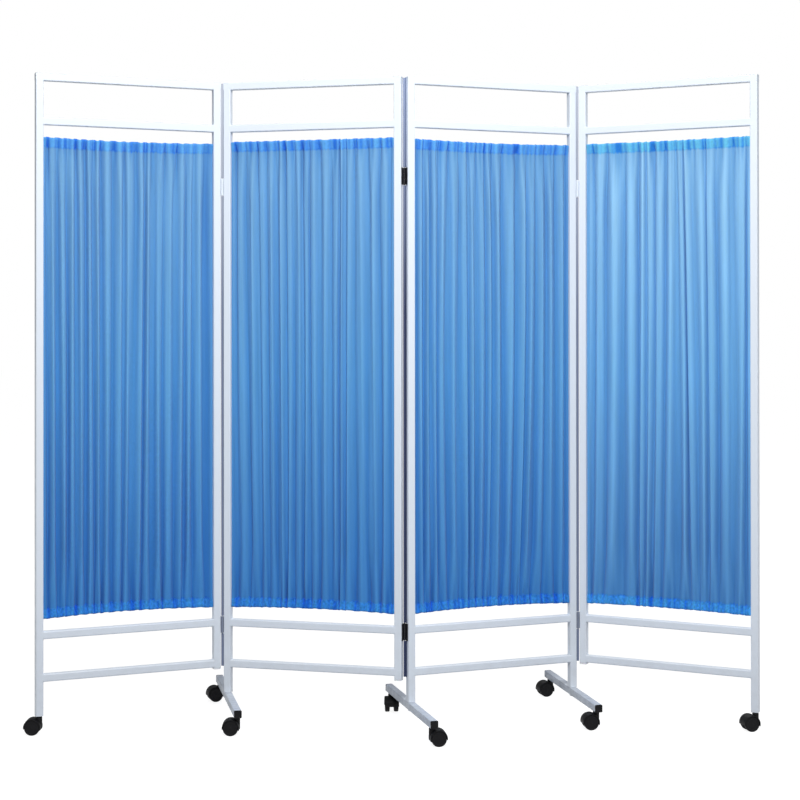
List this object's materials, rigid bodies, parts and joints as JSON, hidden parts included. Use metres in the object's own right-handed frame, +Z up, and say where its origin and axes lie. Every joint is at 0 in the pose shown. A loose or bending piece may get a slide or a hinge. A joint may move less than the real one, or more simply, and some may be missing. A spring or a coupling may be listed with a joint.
{
  "type": "folding privacy screen",
  "caption": "Free-standing folding ward screen: hinged square-tube panels with gathered curtains on wires, carried on castors and turning T-feet.",
  "frame": {"origin": "on the floor, under the middle of the whole screen's bounding box as it stands part folded", "axes": "+X to the right as seen from the front, along the row of panels; +Y to the back; +Z up from the floor"},
  "size_m": [1.928, 0.6302, 1.725],
  "materials": {
    "white_paint": "satin white powder coat",
    "black_paint": "satin black paint",
    "white_plastic": "smooth moulded",
    "black_plastic": "fine moulded grain",
    "black_tread": "smooth rolling face",
    "steel": "zinc plated",
    "blue_cloth": "plain weave, gathered"
  },
  "bodies": {
    "panel_3": {"panel_3_frame": "white_paint", "panel_3_curtain": "blue_cloth", "panel_3_top_wire": "steel", "panel_3_bottom_wire": "steel", "foot_2_bolt": "steel", "foot_3_bolt": "steel", "middle_upper_hinge_knuckle_leaf": "black_paint", "middle_lower_hinge_knuckle_leaf": "black_paint", "right_upper_hinge_pin_leaf": "white_paint", "right_lower_hinge_pin_leaf": "white_paint"},
    "panel_2": {"panel_2_frame": "white_paint", "panel_2_curtain": "blue_cloth", "panel_2_top_wire": "steel", "panel_2_bottom_wire": "steel", "panel_2_post_plug": "white_plastic", "foot_1_bolt": "steel", "left_upper_hinge_knuckle_leaf": "white_paint", "left_lower_hinge_knuckle_leaf": "white_paint", "middle_upper_hinge_pin_leaf": "black_paint", "middle_lower_hinge_pin_leaf": "black_paint"},
    "panel_1": {"panel_1_frame": "white_paint", "panel_1_curtain": "blue_cloth", "panel_1_top_wire": "steel", "panel_1_bottom_wire": "steel", "panel_1_post_plug": "white_plastic", "left_upper_hinge_pin_leaf": "white_paint", "left_lower_hinge_pin_leaf": "white_paint"},
    "panel_4": {"panel_4_frame": "white_paint", "panel_4_curtain": "blue_cloth", "panel_4_top_wire": "steel", "panel_4_bottom_wire": "steel", "panel_4_post_plug": "white_plastic", "right_upper_hinge_knuckle_leaf": "white_paint", "right_lower_hinge_knuckle_leaf": "white_paint"},
    "foot_1": {"foot_1_tube": "white_paint", "foot_1_front_plug": "black_plastic", "foot_1_rear_plug": "black_plastic"},
    "foot_2": {"foot_2_tube": "white_paint", "foot_2_front_plug": "black_plastic", "foot_2_rear_plug": "black_plastic"},
    "foot_3": {"foot_3_tube": "white_paint", "foot_3_front_plug": "black_plastic", "foot_3_rear_plug": "black_plastic"},
    "left_end_castor": {"left_end_castor_hood": "black_plastic"},
    "left_end_castor_wheels": {"left_end_castor_wheels": "black_tread"},
    "right_end_castor": {"right_end_castor_hood": "black_plastic"},
    "right_end_castor_wheels": {"right_end_castor_wheels": "black_tread"},
    "foot_1_front_castor": {"foot_1_front_castor_hood": "black_plastic"},
    "foot_1_front_castor_wheels": {"foot_1_front_castor_wheels": "black_tread"},
    "foot_1_rear_castor": {"foot_1_rear_castor_hood": "black_plastic"},
    "foot_1_rear_castor_wheels": {"foot_1_rear_castor_wheels": "black_tread"},
    "foot_2_front_castor": {"foot_2_front_castor_hood": "black_plastic"},
    "foot_2_front_castor_wheels": {"foot_2_front_castor_wheels": "black_tread"},
    "foot_2_rear_castor": {"foot_2_rear_castor_hood": "black_plastic"},
    "foot_2_rear_castor_wheels": {"foot_2_rear_castor_wheels": "black_tread"},
    "foot_3_front_castor": {"foot_3_front_castor_hood": "black_plastic"},
    "foot_3_front_castor_wheels": {"foot_3_front_castor_wheels": "black_tread"},
    "foot_3_rear_castor": {"foot_3_rear_castor_hood": "black_plastic"},
    "foot_3_rear_castor_wheels": {"foot_3_rear_castor_wheels": "black_tread"}
  },
  "joints": [
    {"name": "left_fold", "type": "hinge", "parent": "panel_2", "child": "panel_1", "pos_m": [-0.46822, 0.01901, 1.441], "axis": [0, 0, 1], "range_deg": [-47.9, 102.1]},
    {"name": "middle_fold", "type": "hinge", "parent": "panel_3", "child": "panel_2", "pos_m": [0.02783, -0.08771, 1.461], "axis": [0, 0, -1], "range_deg": [-46.6, 73.4]},
    {"name": "right_fold", "type": "hinge", "parent": "panel_3", "child": "panel_4", "pos_m": [0.5048, 0.08534, 1.441], "axis": [0, 0, -1], "range_deg": [-58.8, 91.2]},
    {"name": "foot_1_turn", "type": "hinge", "parent": "panel_2", "child": "foot_1", "pos_m": [-0.45266, 0.02534, 0.048], "axis": [0, 0, 1], "range_deg": [-72, 18]},
    {"name": "foot_2_turn", "type": "hinge", "parent": "panel_3", "child": "foot_2", "pos_m": [0.0441, -0.09186, 0.048], "axis": [0, 0, 1], "range_deg": [-38.3, 51.7]},
    {"name": "foot_3_turn", "type": "hinge", "parent": "panel_3", "child": "foot_3", "pos_m": [0.48852, 0.0895, 0.048], "axis": [0, 0, 1], "range_deg": [-35.4, 54.6]},
    {"name": "left_end_castor_swivel", "type": "hinge", "parent": "panel_1", "child": "left_end_castor", "pos_m": [-0.92478, -0.1686, 0], "axis": [0, 0, 1], "continuous": true},
    {"name": "right_end_castor_swivel", "type": "hinge", "parent": "panel_4", "child": "right_end_castor", "pos_m": [0.95054, -0.12668, 0], "axis": [0, 0, 1], "continuous": true},
    {"name": "foot_1_front_castor_swivel", "type": "hinge", "parent": "foot_1", "child": "foot_1_front_castor", "pos_m": [-0.40794, -0.17473, 0], "axis": [0, 0, 1], "continuous": true},
    {"name": "foot_1_rear_castor_swivel", "type": "hinge", "parent": "foot_1", "child": "foot_1_rear_castor", "pos_m": [-0.49738, 0.2254, 0], "axis": [0, 0, 1], "continuous": true},
    {"name": "foot_2_front_castor_swivel", "type": "hinge", "parent": "foot_2", "child": "foot_2_front_castor", "pos_m": [0.09889, -0.28941, 0], "axis": [0, 0, 1], "continuous": true},
    {"name": "foot_2_rear_castor_swivel", "type": "hinge", "parent": "foot_2", "child": "foot_2_rear_castor", "pos_m": [-0.01068, 0.10568, 0], "axis": [0, 0, 1], "continuous": true},
    {"name": "foot_3_front_castor_swivel", "type": "hinge", "parent": "foot_3", "child": "foot_3_front_castor", "pos_m": [0.53324, -0.11056, 0], "axis": [0, 0, 1], "continuous": true},
    {"name": "foot_3_rear_castor_swivel", "type": "hinge", "parent": "foot_3", "child": "foot_3_rear_castor", "pos_m": [0.4438, 0.28956, 0], "axis": [0, 0, 1], "continuous": true},
    {"name": "left_end_castor_roll", "type": "hinge", "parent": "left_end_castor", "child": "left_end_castor_wheels", "pos_m": [-0.94077, -0.16916, 0.02], "axis": [0.0349, -0.9994, 0], "continuous": true},
    {"name": "right_end_castor_roll", "type": "hinge", "parent": "right_end_castor", "child": "right_end_castor_wheels", "pos_m": [0.93502, -0.13056, 0.02], "axis": [0.2419, -0.9703, 0], "continuous": true},
    {"name": "foot_1_front_castor_roll", "type": "hinge", "parent": "foot_1_front_castor", "child": "foot_1_front_castor_wheels", "pos_m": [-0.42393, -0.17528, 0.02], "axis": [0.0349, -0.9994, 0], "continuous": true},
    {"name": "foot_1_rear_castor_roll", "type": "hinge", "parent": "foot_1_rear_castor", "child": "foot_1_rear_castor_wheels", "pos_m": [-0.51241, 0.21993, 0.02], "axis": [0.342, -0.9397, 0], "continuous": true},
    {"name": "foot_2_front_castor_roll", "type": "hinge", "parent": "foot_2_front_castor", "child": "foot_2_front_castor_wheels", "pos_m": [0.11473, -0.28718, 0.02], "axis": [-0.1392, 0.9903, 0], "continuous": true},
    {"name": "foot_2_rear_castor_roll", "type": "hinge", "parent": "foot_2_rear_castor", "child": "foot_2_rear_castor_wheels", "pos_m": [-0.00928, 0.08974, 0.02], "axis": [0.9962, 0.0872, 0], "continuous": true},
    {"name": "foot_3_front_castor_roll", "type": "hinge", "parent": "foot_3_front_castor", "child": "foot_3_front_castor_wheels", "pos_m": [0.5174, -0.11279, 0.02], "axis": [0.1392, -0.9903, 0], "continuous": true},
    {"name": "foot_3_rear_castor_roll", "type": "hinge", "parent": "foot_3_rear_castor", "child": "foot_3_rear_castor_wheels", "pos_m": [0.42842, 0.28515, 0.02], "axis": [0.2756, -0.9613, 0], "continuous": true}
  ]
}
